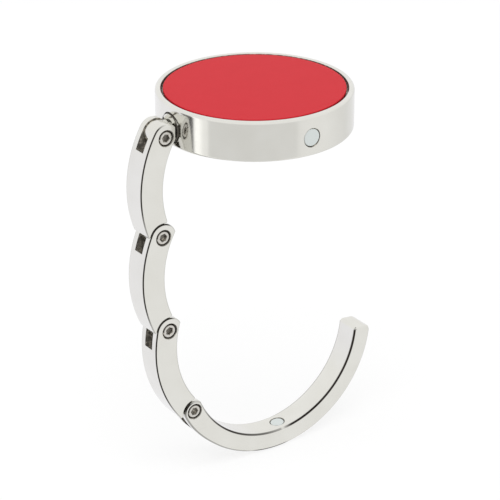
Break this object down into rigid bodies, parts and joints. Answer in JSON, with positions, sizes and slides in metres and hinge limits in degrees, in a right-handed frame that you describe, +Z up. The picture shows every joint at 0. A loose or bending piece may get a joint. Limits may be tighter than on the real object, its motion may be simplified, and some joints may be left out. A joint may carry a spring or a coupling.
{
  "type": "folding purse hook",
  "caption": "Table-edge purse hook: a disc with a non-slip pad and a hinged chain that folds round its rim and opens into a hook.",
  "frame": {"origin": "middle of the underside of the non-slip pad, where it rests on the table", "axes": "+Z up through the disc, -X towards the swivel lug, +X towards the open side of the hook; the four hinges turn about Y"},
  "size_m": [0.0511, 0.036, 0.0746],
  "materials": {
    "plated_zinc": "polished nickel plate on cast zinc",
    "plated_steel": "nickel-plated steel",
    "magnet_nickel": "matt nickel plate",
    "red_coating": "satin red",
    "clear_film": "clear adhesive film",
    "black_rubber": "matt black rubber"
  },
  "bodies": {
    "disc": {"disc_case": "plated_zinc", "top_inlay": "red_coating", "inlay_adhesive": "clear_film", "base_plate": "plated_steel", "pad_adhesive": "clear_film", "non_slip_pad": "black_rubber", "rim_magnet": "magnet_nickel"},
    "swivel": {"swivel_lug": "plated_zinc", "swivel_washer": "plated_steel", "swivel_nut": "plated_steel"},
    "upper": {"link_upper": "plated_zinc", "hinge_screw_1": "plated_steel"},
    "middle": {"link_middle": "plated_zinc", "hinge_screw_2": "plated_steel"},
    "lower": {"link_lower": "plated_zinc", "hinge_screw_3": "plated_steel"},
    "hook": {"hook_arm": "plated_zinc", "hook_magnet": "magnet_nickel", "hinge_screw_4": "plated_steel"}
  },
  "joints": [
    {"name": "swivel_turn", "type": "hinge", "parent": "disc", "child": "swivel", "pos_m": [-0.0175, 0, 0.00385], "axis": [1, 0, 0], "range_deg": [-90, 90]},
    {"name": "hinge_1_fold", "type": "hinge", "parent": "swivel", "child": "upper", "pos_m": [-0.02044, 0, 0.00315], "axis": [0, -1, 0], "range_deg": [0, 32.4]},
    {"name": "hinge_2_fold", "type": "hinge", "parent": "upper", "child": "middle", "pos_m": [-0.02137, 0, -0.01583], "axis": [0, -1, 0], "range_deg": [0, 49.7]},
    {"name": "hinge_3_fold", "type": "hinge", "parent": "middle", "child": "lower", "pos_m": [-0.02043, 0, -0.0348], "axis": [0, -1, 0], "range_deg": [0, 42.5]},
    {"name": "hinge_4_fold", "type": "hinge", "parent": "lower", "child": "hook", "pos_m": [-0.01529, 0, -0.05309], "axis": [0, -1, 0], "range_deg": [0, 18.6]}
  ]
}
